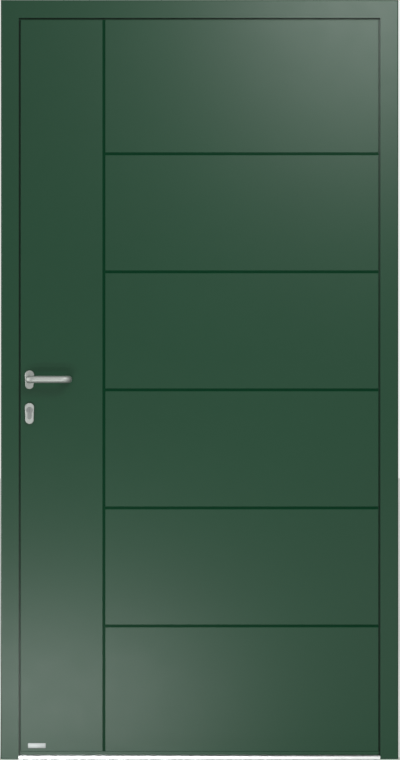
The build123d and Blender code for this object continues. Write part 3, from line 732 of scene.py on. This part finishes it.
def area_lamp(name, place, target, width, height, radiance):
    """Soft lamp of an even brightness, turned towards a point and unseen by the camera."""
    data = bpy.data.lights.new(name, "AREA")
    data.shape = "RECTANGLE"
    data.size, data.size_y = width, height
    power_per_radiance = 4  # watts a square metre for a radiance of one
    data.energy = radiance * power_per_radiance * width * height
    lamp = bpy.data.objects.new(name, data)
    lamp.location = place
    lamp.rotation_mode = "QUATERNION"
    lamp.rotation_quaternion = (Vector(target) - Vector(place)).to_track_quat("-Z", "Y")
    lamp.visible_camera = False
    bpy.context.scene.collection.objects.link(lamp)
    return lamp


class DOOR_OT_studio(bpy.types.Operator):
    """Set up the pale floor, the room, the lamps and the camera"""

    bl_idname = "front_door.studio"
    bl_label = "Studio"

    def execute(self, context):
        studio = context.scene.door_studio
        self.make_floor(studio)
        self.make_room(context.scene, studio)
        self.hang_lamps(studio.lamp_level)
        self.place_camera(context.scene, studio)
        context.scene.view_settings.view_transform = "Standard"
        return {"FINISHED"}

    def make_floor(self, studio):
        """Round floor, a hair below the threshold so that their faces don't meet."""
        below, corners = 0.0004, 96
        moulded("pale_floor", studio.floor_colour, roughness=0.8, grain=0.004, depth=0.00002)
        builder = bmesh.new()
        centre = Vector((0, 0, -below))
        builder.faces.new(ring(builder, centre, Matrix.Identity(3), studio.floor_reach, 0, corners))
        floor = mesh_object(builder, "floor", "pale_floor")
        floor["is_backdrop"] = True

    def make_room(self, scene, studio):
        """Even light from all round, which the camera, metal and glass see as a pale backdrop."""
        scene.world = bpy.data.worlds.new("pale_room")
        scene.world.use_nodes = True
        room = Recipe(scene.world.node_tree)
        seen = room.node("ShaderNodeLightPath", output="Is Camera Ray")
        for ray in ("Is Glossy Ray", "Is Transmission Ray"):
            seen = seen.math("MAXIMUM", seen, room.node("ShaderNodeLightPath", output=ray))
        strength = seen * studio.backdrop + (1 - seen) * studio.ambient
        light = room.node("ShaderNodeBackground", {}, {"Color": (1, 1, 1, 1), "Strength": strength})
        room.node("ShaderNodeOutputWorld", {}, {"Surface": light})

    def hang_lamps(self, level):
        """Softboxes for the whole scene, and low strips that light the door without the floor."""
        area_lamp("upper_right_softbox", (0.6, -2.0, 2.5), (0.5, 0, 2.0), 0.7, 0.5, 14.6 * level)
        area_lamp("right_softbox", (0.6, -2.0, 2.1), (0.5, 0, 2.0), 0.7, 0.5, 5.2 * level)
        area_lamp("back_softbox", (-1.6, 3.6, 3.0), (0, 0, 1.0), 2.0, 2.0, 2.0 * level)
        door = bpy.data.collections.new("door_pieces")
        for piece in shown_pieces():
            door.objects.link(piece)
        for lamp in (
            area_lamp("low_right_softbox", (0.9, -2.6, 0.3), (0.5, 0, 0.3), 0.8, 0.4, 1.6 * level),
            area_lamp("near_left_strip", (-0.66, -1.5, 0.07), (-0.45, 0, 0.1), 1.1, 0.12, 16.0 * level),
            area_lamp("far_left_strip", (-0.6, -2.2, 0.05), (-0.6, 0, 0.1), 1.4, 0.09, 18.0 * level),
            area_lamp("left_softbox", (-2.5, -0.04, 1.05), (-0.55, -0.04, 1.05), 0.4, 2.2, 7.0 * level),
        ):
            lamp.light_linking.receiver_collection = door

    def place_camera(self, scene, studio):
        """Camera straight in front of the door, with the sensor's width along the picture's height."""
        data = bpy.data.cameras.new("front_camera")
        data.sensor_width = 36
        data.lens = data.sensor_width * studio.camera_distance / studio.view_height
        data.clip_start, data.clip_end = 0.1, 200
        camera = bpy.data.objects.new("front_camera", data)
        camera.location = (studio.view_x, sheet_low.y - studio.camera_distance, studio.view_z)
        camera.rotation_euler = (pi / 2, 0, 0)
        scene.collection.objects.link(camera)
        scene.camera = camera


steps = (
    DOOR_OT_finishes,
    DOOR_OT_frame,
    DOOR_OT_threshold,
    DOOR_OT_leaf,
    DOOR_OT_seals,
    DOOR_OT_lock,
    DOOR_OT_handles,
    DOOR_OT_hinges,
    DOOR_OT_bare_plate,
    DOOR_OT_lock_screws,
    DOOR_OT_hinge_screws,
    DOOR_OT_studio,
)


class DOOR_PT_sidebar(bpy.types.Panel):
    """Lists the door's steps and their sizes and colours"""

    bl_idname = "DOOR_PT_sidebar"
    bl_label = "Front door"
    bl_space_type = "VIEW_3D"
    bl_region_type = "UI"
    bl_category = "Front door"

    def draw(self, context):
        for step in steps:
            self.layout.operator(step.bl_idname)
        for name, group in settings_groups.items():
            box = self.layout.box()
            for setting in group.__annotations__:
                box.prop(getattr(context.scene, name), setting)


def register():
    for group in settings_groups.values():
        bpy.utils.register_class(group)
    for name, group in settings_groups.items():
        setattr(bpy.types.Scene, name, PointerProperty(type=group))
    for step in steps:
        bpy.utils.register_class(step)
    bpy.utils.register_class(DOOR_PT_sidebar)


def unregister():
    bpy.utils.unregister_class(DOOR_PT_sidebar)
    for step in reversed(steps):
        bpy.utils.unregister_class(step)
    for name in settings_groups:
        delattr(bpy.types.Scene, name)
    for group in reversed(settings_groups.values()):
        bpy.utils.unregister_class(group)


def main():
    """Dress the door step by step."""
    register()
    for step in steps:
        group, action = step.bl_idname.split(".")
        getattr(getattr(bpy.ops, group), action)()
    bpy.context.view_layer.update()


if __name__ == "__main__":
    main()
